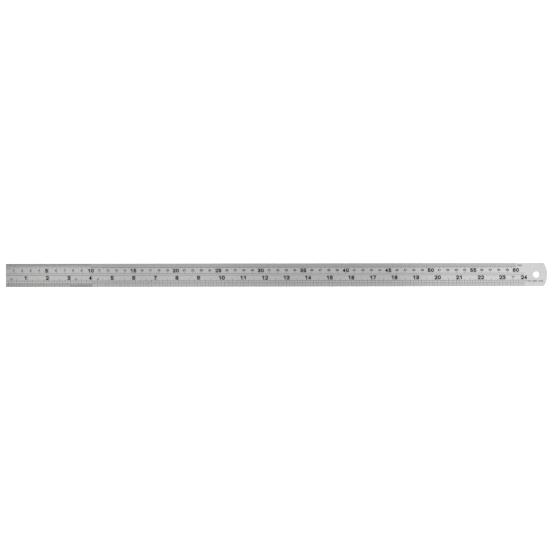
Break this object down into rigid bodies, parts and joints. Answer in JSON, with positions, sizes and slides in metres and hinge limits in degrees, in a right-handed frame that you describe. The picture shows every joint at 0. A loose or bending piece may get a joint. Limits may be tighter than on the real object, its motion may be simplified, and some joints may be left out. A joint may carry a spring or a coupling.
{
  "type": "steel ruler",
  "caption": "Long flat steel ruler with a metric scale on one edge and an inch scale on the other, a square zero end, a rounded far end and a hang hole.",
  "frame": {"origin": "on the square zero end, at mid-width, in the plane of the back face", "axes": "+X along the ruler from the zero end to the hang hole, +Y to the metric edge, +Z out of the graduated face"},
  "size_m": [0.637, 0.0274, 0.001],
  "materials": {
    "blade_steel": "satin, brushed along the length",
    "mark_filling": "matt black filling of the etched marks"
  },
  "bodies": {
    "root": {"blade": "blade_steel", "metric_half_mm_marks": "mark_filling", "metric_mm_marks": "mark_filling", "metric_5mm_marks": "mark_filling", "metric_cm_marks": "mark_filling", "metric_mm_rail": "mark_filling", "metric_major_numerals": "mark_filling", "metric_minor_numerals": "mark_filling", "inch_64th_marks": "mark_filling", "inch_32nd_marks": "mark_filling", "inch_16th_marks": "mark_filling", "inch_8th_marks": "mark_filling", "inch_quarter_marks": "mark_filling", "inch_half_marks": "mark_filling", "inch_marks": "mark_filling", "inch_32nd_rail": "mark_filling", "inch_16th_rail": "mark_filling", "inch_8th_rail": "mark_filling", "inch_numerals": "mark_filling", "scale_divider_lines": "mark_filling", "inch_division_labels": "mark_filling", "unit_labels": "mark_filling", "division_legend": "mark_filling"}
  },
  "joints": []
}
